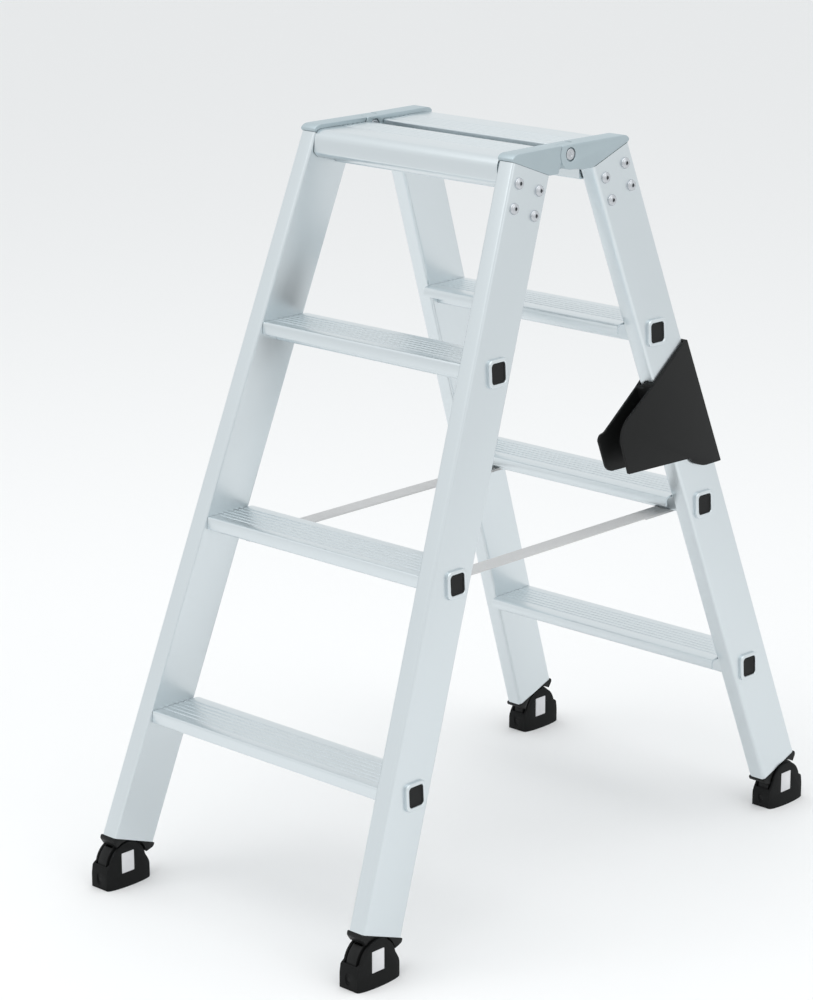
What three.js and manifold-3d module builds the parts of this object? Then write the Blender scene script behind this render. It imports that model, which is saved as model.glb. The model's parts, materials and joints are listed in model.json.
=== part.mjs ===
// Double-sided aluminium platform step ladder: two tapered sections that fold about a hinge.
// Millimetres, +Z up, +Y from the front section to the rear one, +X to the right.
// The origin is on the floor, in the middle between the four feet.
import * as THREE from "three";
import { mergeVertices } from "three/addons/utils/BufferGeometryUtils.js";
import Module from "manifold-3d";

const wasm = await Module();
wasm.setup();

// ---------- driving dimensions ----------
const DEG = Math.PI / 180;
const GAP = 0.3; // clearance between pieces that touch
const LEAN = 20 * DEG; // each section from the vertical
const SLOPE = 0.058; // each stile inwards, for every millimetre up its section
const PIN_Z = 915; // height of the hinge axis
const STEP_PITCH = 250; // along the stile
const STEPS = 3; // treads a section, below the platform
const BEYOND = 400; // past the far end of any piece, for tools that cut right through
const INSIDE = 100; // X between the middle of the ladder and its stiles

// A section's own frame has its origin on the hinge axis, Z up along the section and -Y outwards.
const STILE = {
  x: 171.9, thick: 24, out: -99.4, in: -30.3, top: -32.8, bottom: -939.1, wall: 2, round: 4,
};
const TUBE_Y = -57.5;
const TUBE_1 = -772.6; // the lowest step tube

// Step, about its tube's axis
const TREAD = { nose: -37.5, rear: 43.5, top: 13, noseLow: -2.5, rearLow: 0, skin: 2.5, round: 3 };
const TREAD_ROLL = [[-6.5, 0], [-2.2, -1.6], [0, -4.5]]; // its rear edge, from the corner of rear and top
const TUBE = { half: 14, wall: 2.8, round: 3, boreRound: 2, flatTop: 1.4 };
const STUB_EASE = 0.3; // the tube is this much thinner where it passes the stile
const RIM = { half: 17, thick: 4, round: 6, mouth: 12.3, mouthRound: 4.3, overlap: 8 };
const PLUG = { half: 12, shank: 11.1, shankRound: 1.8, deep: 12, thick: 1.4, sunk: 1.4, round: 4 };
const GROOVE = { wide: 3.6, deep: 1.2, pitch: 8.6, first: -23, count: 6 };

// Platform half, world-aligned, about the hinge axis
const DECK = {
  nose: -106.5, inner: -13.5, top: 6.5, innerLow: -22, round: 12, skin: 2.5, lip: 2.4, ease: 1,
};
const DECK_LIP = [[9, -29], [3, -25], [0, -22]]; // outside of the turned-in lip, as [back from the nose, z]
const DECK_LIP_INSIDE = [[2.4, -21], [4.6, -23], [10, -27]];
const DECK_BOX = { front: -68, back: -42, low: -38, wall: 2.4, round: 2 };
const DECK_GROOVE = { wide: 3.6, deep: 1.2, pitch: 8.4, first: -62, count: 5 };

// Hinge castings, world-aligned, about the hinge axis
const CAST = {
  split: 160, top: 12, eye: 18, socket: 18.7, socketEnd: 200, spare: 5, toe: [-24, -20.5],
};
const CAST_NOSE = [[-106.5, 6.5], [-104, 9.6], [-99.5, 11.5], [-96, 12]];
const CAST_NECK = [[-13, -18.4], [-15.5, -20.2]];
const SHANK = { deep: 60, ease: 0.4, overlap: 6 };
const PIN = { radius: 4.5, head: 7, thick: 2.2, ease: 0.3, sink: 2.6, proud: -0.1, headEase: 1 };

// Webbing straps between the middle steps, and the rivets that hold them
const STRAP = { x: 146.6, wide: 26, thick: 1.7, reach: 234, hole: 3 };
const RIVET = {
  inward: 6, washer: 6.5, washerThick: 1.4, shank: 2.6, head: 1.2, blind: 3.8, blindThick: 1.8,
};
const STRAP_STEP = 2;

// Transport clamp on the rear right stile, in the section's frame: outlines as [y, z]
const CLAMP = { wall: 4, ease: 0.3, jawEase: 0.9, web: -24.5, overlap: 1, above: -200, below: -600 };
const CLAMP_OUTER = [
  [-103.6, -308], [-105.6, -486], [-73.3, -474.7], [-57.2, -461.7], [-52.9, -451.9],
  [57.1, -409.1], [53.9, -360.3], [40.3, -346.6], [-24.7, -330.4],
];
const CLAMP_INNER = [
  [-103.6, -308], [-105.6, -486], [-73.3, -474.7], [-27.7, -443], [57.9, -410.5], [63.7, -403.1],
  [62.9, -362.9], [57.1, -358.5], [49.1, -359.9], [-24.9, -337.9], [-32.3, -335.3],
];

// Feet, world-aligned, about the tilt axis
const FOOT = { x: 216.3, y: -393.7, z: 26 };
const SHOE = { end: 36, edge: 1.5, dome: 29.5, half: 13.8, bulge: 20, bulgeTop: -10 };
const SHOE_HEEL = [[36, -9], [35.2, -5.1], [32.7, 0.1]];
const SHOE_TOE = [[-30.4, 6.3], [-33.8, 3], [-35.7, -3], [-36, -7.5]];
const POCKET = { half: 10.8, reach: 32.7, low: -18.6 };
const DRUM = { radius: 31.5, half: 7.7, low: -17.8, slot: 4.7, slotReach: 19, slotLow: -9.9 };
const ROLL = { z: -13.5, radius: 3, reach: 34.6, ease: 0.35 };
const TONGUE = { half: 4, eye: 9, waist: 7, top: 37, ease: 0.3 };
const AXLE = 3;
const SEAT = 32.6; // radius of the concave underside of the collar
const COLLAR = {
  lip: 5, proud: 0.6, shank: 26, ease: 0.4, overlap: 4, toeAngle: 123, heelAngle: 14,
};
const INSERT = { half: 10, low: -9.5, high: 17, thick: 1.6, proud: 0.4, round: 3 };
const DISH = { high: 8, wide: 4.5, deep: 0.8, z: -12.5 };

const ALUMINIUM = { color: "#d6dee0", roughness: 0.35, metalness: 0.85 };
const CAST_METAL = { color: "#b8c8cd", roughness: 0.55, metalness: 0.6 };
const STEEL = { color: "#c4c8ca", roughness: 0.3, metalness: 1 };
const BLACK_PLASTIC = { color: "#202121", roughness: 0.6, metalness: 0 };
const GREY_PLASTIC = { color: "#dcdcde", roughness: 0.5, metalness: 0 };
const WEBBING = { color: "#cdcdcd", roughness: 0.9, metalness: 0 };

// ---------- solids ----------
// Every shape is a BufferGeometry; a boolean's result is already closed, so only raw shapes are welded.
function solidOf(geometry) {
  let g = geometry;
  if (!g.userData.closed) {
    g = g.index ? g.toNonIndexed() : g.clone();
    g.deleteAttribute("normal");
    g.deleteAttribute("uv");
    g = mergeVertices(g, 1e-4);
  }
  const vertProperties = g.attributes.position.array;
  const triVerts = new Uint32Array(g.index.array);
  return new wasm.Manifold(new wasm.Mesh({ numProp: 3, vertProperties, triVerts }));
}

function geometryOf(solid) {
  const { vertProperties, triVerts } = solid.getMesh();
  const geometry = new THREE.BufferGeometry();
  geometry.setAttribute("position", new THREE.BufferAttribute(vertProperties, 3));
  geometry.setIndex(new THREE.BufferAttribute(triVerts, 1));
  geometry.userData.closed = true;
  return geometry;
}

const joined = (...shapes) => geometryOf(shapes.map(solidOf).reduce((a, b) => a.add(b)));
const cut = (first, ...tools) =>
  geometryOf(tools.map(solidOf).reduce((a, b) => a.subtract(b), solidOf(first)));

function box(x0, x1, y0, y1, z0, z1) {
  const geometry = new THREE.BoxGeometry(x1 - x0, y1 - y0, z1 - z0);
  return geometry.translate((x0 + x1) / 2, (y0 + y1) / 2, (z0 + z1) / 2);
}

// A cylinder along an axis through the origin.
function cylinder(axis, radius, from, to, sides = 14) {
  const geometry = new THREE.CylinderGeometry(radius, radius, to - from, sides);
  geometry.translate(0, (from + to) / 2, 0);
  if (axis === "x") geometry.rotateZ(-Math.PI / 2);
  if (axis === "z") geometry.rotateX(Math.PI / 2);
  return geometry;
}

// Points of an arc about (cy, cz), from one angle to another in degrees.
function arc(cy, cz, radius, from, to, steps) {
  return Array.from({ length: steps + 1 }, (_, i) => {
    const a = (from + ((to - from) * i) / steps) * DEG;
    return [cy + radius * Math.cos(a), cz + radius * Math.sin(a)];
  });
}

function roundedRect(y0, y1, z0, z1, r, steps = 2) {
  return [
    ...arc(y1 - r, z0 + r, r, -90, 0, steps),
    ...arc(y1 - r, z1 - r, r, 0, 90, steps),
    ...arc(y0 + r, z1 - r, r, 90, 180, steps),
    ...arc(y0 + r, z0 + r, r, 180, 270, steps),
  ];
}

function extruded(outline, depth) {
  const shape = new THREE.Shape(outline.map(([a, b]) => new THREE.Vector2(a, b)));
  return new THREE.ExtrudeGeometry(shape, { depth, bevelEnabled: false });
}

// An outline in Y and Z carried along X between two ends, each a function of (y, z) that gives its X.
function prism(outline, from, to) {
  const geometry = extruded(outline, 1);
  const p = geometry.attributes.position;
  for (let i = 0; i < p.count; i++) {
    const y = p.getX(i);
    const z = p.getY(i);
    p.setXYZ(i, p.getZ(i) < 0.5 ? from(y, z) : to(y, z), y, z);
  }
  return geometry;
}

// An outline in X and Y carried up Z.
function plate(outline, z0, z1) {
  return extruded(outline, z1 - z0).translate(0, 0, z0);
}

const at = (x) => () => x;
const shifted = (face, by) => (y, z) => face(y, z) + by;
const opposite = (face) => (y, z) => -face(y, z);

// The same shape on the other side of the X = 0 plane.
function mirrored(geometry) {
  const g = geometry.index ? geometry.clone() : mergeVertices(geometry, 1e-4);
  g.scale(-1, 1, 1);
  const index = g.index.array.slice();
  for (let i = 0; i < index.length; i += 3) {
    index[i] = g.index.array[i + 1];
    index[i + 1] = g.index.array[i];
  }
  g.setIndex(new THREE.BufferAttribute(index, 1));
  g.userData.closed = geometry.userData.closed;
  return g;
}

// ---------- the stiles' side faces ----------
// X of a stile's outer face at (y, z) of a level frame whose origin is this far up the section.
function outerFace(height) {
  return (y, z) => STILE.x - SLOPE * (height + y * Math.sin(LEAN) + z * Math.cos(LEAN));
}

const innerFace = (height) => shifted(outerFace(height), -STILE.thick);
const sectionOuter = (y, z) => STILE.x - SLOPE * z;
const sectionInner = shifted(sectionOuter, -STILE.thick);
const tubeHeight = (k) => TUBE_1 + (k - 1) * STEP_PITCH;

// From a section's own frame to the level frame about the hinge axis.
const leaned = (geometry) => geometry.rotateX(-LEAN);

function toLevel(y, z) {
  return [y * Math.cos(LEAN) + z * Math.sin(LEAN), -y * Math.sin(LEAN) + z * Math.cos(LEAN)];
}

// A rounded bar inside the right stile, in the section's frame: inset is from the stile's faces.
function stileBar(inset, z0, z1) {
  const round = Math.max(STILE.round - inset, 1);
  const outline = roundedRect(-STILE.thick + inset, -inset, STILE.out + inset, STILE.in - inset, round);
  const geometry = plate(outline, z0, z1);
  const p = geometry.attributes.position;
  for (let i = 0; i < p.count; i++) p.setX(i, p.getX(i) + sectionOuter(0, p.getZ(i)));
  return geometry;
}

// ---------- stile ----------
function stile() {
  const outer = stileBar(0, STILE.bottom, STILE.top);
  const hollow = stileBar(STILE.wall, STILE.bottom - 1, STILE.top + 1);
  const window = roundedRect(-TUBE.half, TUBE.half, -TUBE.half, TUBE.half, TUBE.round);
  const windows = [];
  for (let k = 1; k <= STEPS; k++) {
    const through = prism(window, at(INSIDE), at(BEYOND));
    windows.push(through.rotateX(LEAN).translate(0, TUBE_Y, tubeHeight(k)));
  }
  return leaned(cut(outer, hollow, ...windows));
}

// ---------- steps ----------
// Lengthwise grooves across a level top, as outline points from front to rear.
function grooves(groove, top) {
  const points = [];
  for (let i = 0; i < groove.count; i++) {
    const y = groove.first + i * groove.pitch;
    const edge = groove.wide * 0.2;
    points.push([y, top], [y + edge, top - groove.deep]);
    points.push([y + groove.wide - edge, top - groove.deep], [y + groove.wide, top]);
  }
  return points;
}

function treadOutline() {
  const t = TREAD;
  const under = t.top - t.skin;
  const b = TUBE.half;
  const r = TUBE.round;
  return [
    [t.nose, t.noseLow],
    ...arc(t.nose + t.round, t.top - t.round, t.round, 180, 90, 3),
    ...grooves(GROOVE, t.top),
    ...TREAD_ROLL.map(([y, z]) => [t.rear + y, t.top + z]),
    [t.rear, t.rearLow],
    [t.rear - t.skin, t.rearLow],
    [t.rear - t.skin, under - t.round],
    [t.rear - t.skin - t.round, under],
    [b, under],
    ...arc(b - r, -b + r, r, 0, -90, 2),
    ...arc(-b + r, -b + r, r, -90, -180, 2),
    [-b, under],
    [t.nose + t.skin, under],
    [t.nose + t.skin, t.noseLow],
  ];
}

// The tube's section grown or shrunk: its top is flatter than its bottom, to stay under the tread.
function tubeOutline(half, round) {
  return roundedRect(-half, half, -half, half - TUBE.flatTop, round);
}

function step(k) {
  const h = tubeHeight(k);
  const inner = shifted(innerFace(h), -GAP);
  const lip = shifted(outerFace(h), GAP);
  const face = shifted(outerFace(h), GAP + RIM.thick);
  const half = TUBE.half - STUB_EASE;
  const stub = tubeOutline(half, TUBE.round);
  const rim = roundedRect(-RIM.half, RIM.half, -RIM.half, RIM.half, RIM.round, 3);
  const mouth = roundedRect(-RIM.mouth, RIM.mouth, -RIM.mouth, RIM.mouth, RIM.mouthRound);
  const sunk = shifted(face, -PLUG.thick - PLUG.sunk);
  const bore = tubeOutline(TUBE.half - TUBE.wall, TUBE.boreRound);
  const tools = [prism(bore, at(-BEYOND), at(BEYOND))];
  tools.push(prism(mouth, sunk, at(BEYOND)));
  tools.push(prism(mouth, at(-BEYOND), opposite(sunk)));
  if (k === STRAP_STEP) {
    const hole = cylinder("z", RIVET.shank + GAP, -TUBE.half - 1, -TUBE.half + TUBE.wall + 1);
    for (const x of [-STRAP.x, STRAP.x]) tools.push(hole.clone().translate(x, RIVET.inward, 0));
  }
  return cut(
    joined(
      prism(treadOutline(), opposite(inner), inner),
      prism(stub, opposite(lip), lip),
      prism(rim, lip, face),
      prism(rim, opposite(face), opposite(lip)),
      prism(stub, shifted(lip, -RIM.overlap), shifted(face, -1)),
      prism(stub, opposite(shifted(face, -1)), opposite(shifted(lip, -RIM.overlap))),
    ),
    ...tools,
  );
}

// The black end cap of a step tube, on the right.
function plug(k) {
  const h = tubeHeight(k);
  const face = shifted(outerFace(h), GAP + RIM.thick - PLUG.sunk);
  const back = shifted(face, -PLUG.thick + GAP);
  const flange = roundedRect(-PLUG.half, PLUG.half, -PLUG.half, PLUG.half, PLUG.round);
  const shank = tubeOutline(PLUG.shank, PLUG.shankRound);
  return joined(
    prism(flange, back, face),
    prism(shank, shifted(face, -PLUG.deep), shifted(face, -PLUG.thick / 2)),
  );
}

// ---------- platform half ----------
function deck() {
  const d = DECK;
  const under = d.top - d.skin;
  const outline = [
    ...DECK_LIP.map(([y, z]) => [d.nose + y, z]),
    ...arc(d.nose + d.round, d.top - d.round, d.round, 180, 90, 6),
    ...grooves(DECK_GROOVE, d.top),
    [d.inner - d.lip, d.top],
    [d.inner, d.top - d.lip],
    [d.inner, d.innerLow],
    [d.inner - d.lip, d.innerLow],
    [d.inner - d.lip, under],
    [DECK_BOX.back, under],
    [DECK_BOX.back, DECK_BOX.low],
    [DECK_BOX.front, DECK_BOX.low],
    [DECK_BOX.front, under],
    ...arc(d.nose + d.round, d.top - d.round, d.round - d.lip, 90, 180, 4),
    ...DECK_LIP_INSIDE.map(([y, z]) => [d.nose + y, z]),
  ];
  const end = shifted(innerFace(0), -d.ease);
  const b = DECK_BOX;
  const bore = roundedRect(b.front + b.wall, b.back - b.wall, b.low + b.wall, under - 1, b.round);
  return cut(prism(outline, opposite(end), end), prism(bore, at(-BEYOND), at(BEYOND)));
}

// ---------- hinge castings ----------
// The right-hand casting of the front section, with its eye in one half of its thickness.
function casting(eyeOutside) {
  const c = CAST;
  const cutLine = STILE.top + GAP;
  const outline = [
    toLevel(STILE.in, cutLine),
    toLevel(STILE.out, cutLine),
    ...CAST_NOSE,
    ...arc(0, 0, c.eye, Math.asin(c.top / c.eye) / DEG, -90, 10),
    ...CAST_NECK,
  ];
  const mouthAngle = Math.asin(c.top / c.socket);
  const socket = [
    [c.eye + c.spare, c.top + c.spare],
    [-c.socket * Math.cos(mouthAngle), c.top + c.spare],
    ...arc(0, 0, c.socket, 180 - mouthAngle / DEG, c.socketEnd, 6),
    c.toe,
    [c.toe[0], c.toe[1] - c.spare],
    [c.eye + c.spare, c.toe[1] - c.spare],
  ];
  const near = eyeOutside ? at(INSIDE) : at(c.split - GAP);
  const far = eyeOutside ? at(c.split + GAP) : at(BEYOND);
  const inset = STILE.wall + SHANK.ease;
  const shank = leaned(stileBar(inset, STILE.top - SHANK.deep, STILE.top + SHANK.overlap));
  const innerX = STILE.x - STILE.thick;
  const seat = PIN.head + PIN.headEase;
  return cut(
    joined(prism(outline, innerFace(0), outerFace(0)), shank),
    prism(socket, near, far),
    cylinder("x", PIN.radius + PIN.ease, INSIDE, BEYOND),
    cylinder("x", seat, STILE.x - PIN.sink, BEYOND, 18),
    cylinder("x", seat, INSIDE, innerX + PIN.sink, 18),
  );
}

// The right-hand hinge pin, with a head at each end sunk in the castings.
function pin() {
  const outer = STILE.x + PIN.proud;
  const inner = STILE.x - STILE.thick - PIN.proud;
  return joined(
    cylinder("x", PIN.radius, inner + 1, outer - 1),
    cylinder("x", PIN.head, outer - PIN.thick, outer, 18),
    cylinder("x", PIN.head, inner, inner + PIN.thick, 18),
  );
}

// ---------- straps ----------
const [tubeY, tubeZ] = toLevel(TUBE_Y, tubeHeight(STRAP_STEP));
const strapTop = PIN_Z + tubeZ - TUBE.half - GAP;
const strapEnd = tubeY + RIVET.inward;

function strap() {
  const half = STRAP.wide / 2;
  const [low, reach] = [strapTop - STRAP.thick, STRAP.reach];
  const web = box(STRAP.x - half, STRAP.x + half, -reach, reach, low, strapTop);
  const hole = cylinder("z", STRAP.hole, low - 1, strapTop + 1).translate(STRAP.x, 0, 0);
  return cut(web, hole.clone().translate(0, strapEnd, 0), hole.clone().translate(0, -strapEnd, 0));
}

// The rivet of the front right strap end: washer below the webbing, blind head inside the step tube.
function strapRivet() {
  const low = strapTop - STRAP.thick - GAP;
  const bore = strapTop + GAP + TUBE.wall + GAP;
  return joined(
    cylinder("z", RIVET.washer, low - RIVET.washerThick, low, 16),
    cylinder("z", RIVET.shank, low - RIVET.washerThick - RIVET.head, bore + 1),
    cylinder("z", RIVET.blind, bore, bore + RIVET.blindThick),
  ).translate(STRAP.x, strapEnd, 0);
}

// ---------- transport clamp ----------
// Built on the right stile; a sleeve round the stile and a jaw open towards the other section.
function clamp() {
  const c = CLAMP;
  const middle = (y, z) => sectionOuter(y, z) - STILE.thick / 2;
  const sleeve = (ease, y0, y1) =>
    prism(
      [[y0, c.below], [y1, c.below], [y1, c.above], [y0, c.above]],
      shifted(sectionInner, -ease),
      shifted(sectionOuter, ease),
    );
  return leaned(
    cut(
      joined(
        prism(CLAMP_OUTER, shifted(middle, -c.overlap), shifted(sectionOuter, c.wall)),
        prism(CLAMP_INNER, shifted(sectionInner, -c.wall), shifted(middle, c.overlap)),
      ),
      sleeve(c.ease, STILE.out - c.ease, STILE.in + c.ease),
      sleeve(c.jawEase, c.web, INSIDE),
    ),
  );
}

// ---------- feet ----------
// All about the right foot's tilt axis, level, toe towards -Y.
function collar() {
  const [fy, fz] = [FOOT.y, FOOT.z - PIN_Z];
  const local = ([y, z]) => [y - fy, z - fz];
  const top = STILE.bottom - GAP;
  const outline = [
    local(toLevel(STILE.in + COLLAR.proud, top)),
    local(toLevel(STILE.out - COLLAR.proud, top)),
    local(toLevel(STILE.out - COLLAR.proud, top - COLLAR.lip)),
    ...arc(0, 0, SEAT - COLLAR.overlap, COLLAR.toeAngle, COLLAR.heelAngle, 3),
    local(toLevel(STILE.in + COLLAR.proud, top - COLLAR.lip)),
  ];
  const outer = (y, z) => outerFace(0)(y + fy, z + fz) - FOOT.x;
  const inner = shifted(outer, -STILE.thick - COLLAR.proud);
  const lip = prism(outline, inner, shifted(outer, COLLAR.proud));
  const inset = STILE.wall + COLLAR.ease;
  const bar = leaned(stileBar(inset, STILE.bottom - COLLAR.lip / 2, STILE.bottom + COLLAR.shank));
  const shank = bar.translate(-FOOT.x, -fy, -fz);
  const tongue = [
    [TONGUE.waist, TONGUE.top],
    [-TONGUE.waist, TONGUE.top],
    ...arc(0, 0, TONGUE.eye, 150, 390, 10),
  ];
  return cut(
    joined(
      cut(joined(lip, shank), cylinder("x", SEAT, -BEYOND, BEYOND, 44)),
      prism(tongue, at(-TONGUE.half), at(TONGUE.half)),
    ),
    cylinder("x", AXLE + TONGUE.ease, -BEYOND, BEYOND),
  );
}

// The drum that tilts on the collar's tongue and carries the lengthwise rod the shoe rocks on.
function swivel() {
  const d = DRUM;
  const edge = Math.asin(d.low / d.radius) / DEG;
  const drum = prism(arc(0, 0, d.radius, edge, 180 - edge, 26), at(-d.half), at(d.half));
  return joined(
    cut(drum, box(-d.slot, d.slot, -d.slotReach, d.slotReach, d.slotLow, BEYOND)),
    cylinder("x", AXLE, -d.half, d.half),
    cylinder("y", ROLL.radius, -ROLL.reach, ROLL.reach).translate(0, 0, ROLL.z),
  );
}

function shoe() {
  const s = SHOE;
  const floor = -FOOT.z;
  const side = [
    [-s.end + s.edge, floor],
    [s.end - s.edge, floor],
    [s.end, floor + s.edge],
    ...SHOE_HEEL,
    ...arc(0, 0, s.dome, 12, 168, 12),
    ...SHOE_TOE,
    [-s.end, floor + s.edge],
  ];
  const right = arc(s.half, 0, 1, -90, 90, 8).map(([c, w]) => [c - s.half, w]);
  const sole = [
    ...right.map(([c, w]) => [s.half + c * (s.bulge - s.half), w * (s.end - 1)]),
    ...right.map(([c, w]) => [-s.half - c * (s.bulge - s.half), -w * (s.end - 1)]),
  ];
  const tread = plate(sole, floor, s.bulgeTop);
  const p = tread.attributes.position;
  for (let i = 0; i < p.count; i++) {
    if (p.getZ(i) > floor + 1) p.setX(i, THREE.MathUtils.clamp(p.getX(i), -s.half, s.half));
  }
  const { half, reach, low } = POCKET;
  const hollow = [...arc(0, 0, reach, 0, 180, 16), [-reach, low], [reach, low]];
  const across = INSERT.half + GAP;
  const seat = roundedRect(-across, across, INSERT.low - GAP, INSERT.high + GAP, INSERT.round);
  const bed = s.half - INSERT.thick + INSERT.proud - GAP;
  const dish = cylinder("y", 1, -DISH.deep, DISH.deep, 14).scale(DISH.wide, 1, DISH.high);
  return cut(
    joined(prism(side, at(-s.half), at(s.half)), tread),
    prism(hollow, at(-half), at(half)),
    prism(seat, at(bed), at(BEYOND)),
    prism(seat, at(-BEYOND), at(-bed)),
    cylinder("y", ROLL.radius + ROLL.ease, -BEYOND, BEYOND).translate(0, 0, ROLL.z),
    dish.clone().translate(0, -s.end, DISH.z),
    dish.clone().translate(0, s.end, DISH.z),
  );
}

// The light plate let into one side of the shoe.
function insert() {
  const outline = roundedRect(-INSERT.half, INSERT.half, INSERT.low, INSERT.high, INSERT.round);
  const face = SHOE.half + INSERT.proud;
  return prism(outline, at(face - INSERT.thick), at(face));
}

// ---------- assembly ----------
const ladder = new THREE.Group();
ladder.name = "platform_step_ladder";

function add(name, geometry, look) {
  geometry.computeVertexNormals();
  const part = new THREE.Mesh(geometry, new THREE.MeshStandardMaterial(look));
  part.name = name;
  ladder.add(part);
}

// Adds a shape built on the right of the front section to all four corners that are asked for.
function corners(name, shape, look, wanted = ["front_right", "front_left", "rear_right", "rear_left"]) {
  const raised = shape.clone();
  raised.userData.closed = shape.userData.closed;
  const flipped = mirrored(shape);
  const half = (g) => g.clone().rotateZ(Math.PI);
  const made = {
    front_right: raised, front_left: flipped, rear_right: half(flipped), rear_left: half(raised),
  };
  for (const corner of wanted) add(name.replace("*", corner), made[corner].clone(), look);
}

const atHinge = (geometry) => geometry.translate(0, 0, PIN_Z);
const atFoot = (geometry) => geometry.translate(FOOT.x, FOOT.y, FOOT.z);

corners("stile_*", atHinge(stile()), ALUMINIUM);
for (let k = 1; k <= STEPS; k++) {
  const [y, z] = toLevel(TUBE_Y, tubeHeight(k));
  const tread = atHinge(step(k).translate(0, y, z));
  add(`step_front_${k}`, tread.clone(), ALUMINIUM);
  add(`step_rear_${k}`, tread.clone().rotateZ(Math.PI), ALUMINIUM);
  corners(`step_plug_*_${k}`, atHinge(plug(k).translate(0, y, z)), BLACK_PLASTIC);
}
const platform = atHinge(deck());
add("platform_front", platform.clone(), ALUMINIUM);
add("platform_rear", platform.clone().rotateZ(Math.PI), ALUMINIUM);
corners("hinge_casting_*", atHinge(casting(true)), CAST_METAL, ["front_left", "rear_right"]);
corners("hinge_casting_*", atHinge(casting(false)), CAST_METAL, ["front_right", "rear_left"]);
const hingePin = atHinge(pin());
add("hinge_pin_right", hingePin.clone(), STEEL);
add("hinge_pin_left", mirrored(hingePin), STEEL);
const webbing = strap();
add("strap_right", webbing.clone(), WEBBING);
add("strap_left", mirrored(webbing), WEBBING);
corners("strap_rivet_*", strapRivet(), STEEL);
corners("transport_clamp", atHinge(clamp()), BLACK_PLASTIC, ["rear_right"]);
corners("foot_collar_*", atFoot(collar()), BLACK_PLASTIC);
corners("foot_swivel_*", atFoot(swivel()), BLACK_PLASTIC);
corners("foot_shoe_*", atFoot(shoe()), BLACK_PLASTIC);
const sidePlate = insert();
corners("foot_insert_outer_*", atFoot(sidePlate.clone()), GREY_PLASTIC);
corners("foot_insert_inner_*", atFoot(mirrored(sidePlate)), GREY_PLASTIC);

export default ladder;
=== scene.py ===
"""The looks of a double-sided aluminium platform step ladder, as a Blender add-on built around its frame."""

import json
import math

import bmesh
import bpy
from mathutils import Matrix, Vector


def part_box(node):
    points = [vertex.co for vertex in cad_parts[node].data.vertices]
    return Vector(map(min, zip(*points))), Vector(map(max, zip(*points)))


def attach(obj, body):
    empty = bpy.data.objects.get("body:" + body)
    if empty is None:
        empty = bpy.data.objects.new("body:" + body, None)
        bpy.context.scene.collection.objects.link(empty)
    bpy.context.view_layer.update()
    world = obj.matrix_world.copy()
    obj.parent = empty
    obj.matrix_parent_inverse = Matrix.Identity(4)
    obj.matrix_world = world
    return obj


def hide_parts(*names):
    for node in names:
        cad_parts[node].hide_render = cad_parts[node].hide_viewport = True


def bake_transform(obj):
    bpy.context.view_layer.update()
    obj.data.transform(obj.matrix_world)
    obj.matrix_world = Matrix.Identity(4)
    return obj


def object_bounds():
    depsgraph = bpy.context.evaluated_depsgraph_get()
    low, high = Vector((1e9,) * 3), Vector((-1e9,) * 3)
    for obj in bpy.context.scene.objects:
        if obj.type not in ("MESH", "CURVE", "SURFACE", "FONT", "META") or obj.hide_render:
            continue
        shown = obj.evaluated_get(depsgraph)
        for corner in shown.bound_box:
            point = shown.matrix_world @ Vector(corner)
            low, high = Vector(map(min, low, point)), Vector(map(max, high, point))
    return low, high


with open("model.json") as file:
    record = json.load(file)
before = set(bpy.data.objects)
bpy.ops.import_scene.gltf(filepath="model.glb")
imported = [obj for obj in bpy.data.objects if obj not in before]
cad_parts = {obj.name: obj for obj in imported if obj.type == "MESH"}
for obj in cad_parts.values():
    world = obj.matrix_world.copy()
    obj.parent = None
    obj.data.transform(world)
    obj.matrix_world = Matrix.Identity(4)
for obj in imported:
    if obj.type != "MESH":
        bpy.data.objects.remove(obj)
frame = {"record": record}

bl_info = {
    "name": "Platform Step Ladder",
    "version": (1, 0, 0),
    "blender": (4, 5, 0),
    "location": "View3D > Sidebar > Ladder",
    "description": "Builds the visible pieces of a double-sided platform step ladder",
    "category": "Object",
}

# Shapes are built in millimetres for the front right corner, most of them in a level frame about the hinge
# axis or a foot's tilt axis. A section's own frame leans with it: z runs up its stiles and y across them.
MM = 0.001
CAD_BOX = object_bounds()
JOINTS = {joint["name"]: joint for joint in frame["record"]["behaviour"]["joints"]}
HINGE = Vector(JOINTS["fold"]["pos_m"]) / MM
FOOT = Vector(JOINTS["foot_tilt_front_right"]["pos_m"]) / MM
CORNERS = ("front_right", "front_left", "rear_right", "rear_left")
BOTH_ENDS = ("front_right", "rear_left")  # half a turn apart, for a piece that spans its section
LEAN = math.radians(20)  # each section from the vertical
SLOPE = 0.058  # each stile inwards, for every millimetre up its section
STILE = {"x": 171.9, "thick": 24.0, "out": -99.4, "in": -30.3, "top": -32.8, "bottom": -939.1, "round": 4.0}
STILE_WALL = 2.0
TUBE_Y = -57.5  # the step tubes, across the section
TUBE_HEIGHTS = (-772.6, -522.6, -272.6)  # and up it
TUBE_HALF = 14
SEAM = 0.3  # the fine gap between pieces that touch
INSIDE, BEYOND = 100, 300  # X on either side of a right stile, where cutters start and stop
SPIGOT_INSET = STILE_WALL + 0.4  # from a stile's outer faces to those of a spigot in it
RIM = {"half": 17, "round": 7, "sunk": 1.0, "proud": 4, "mouth": 12.3, "mouth_round": 4.4, "edge": 1.5}
PLUG = {"half": 12.1, "round": 4.2, "deep": 8, "proud": 2.6, "border": 1.5, "slope": 0.8, "dish": 0.7}
TREAD_GROOVES = {"first": -23, "pitch": 8.6, "count": 6, "wide": 3.6, "top": 13}
PLATFORM_GROOVES = {"first": -60.5, "pitch": 8.2, "count": 5, "wide": 3.2, "top": 6.5}
PIN = {"radius": 4.5, "head": 7.0, "thick": 2.2, "sunk": 0.1, "seat": 8.4, "seat_deep": 3.2}
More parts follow.
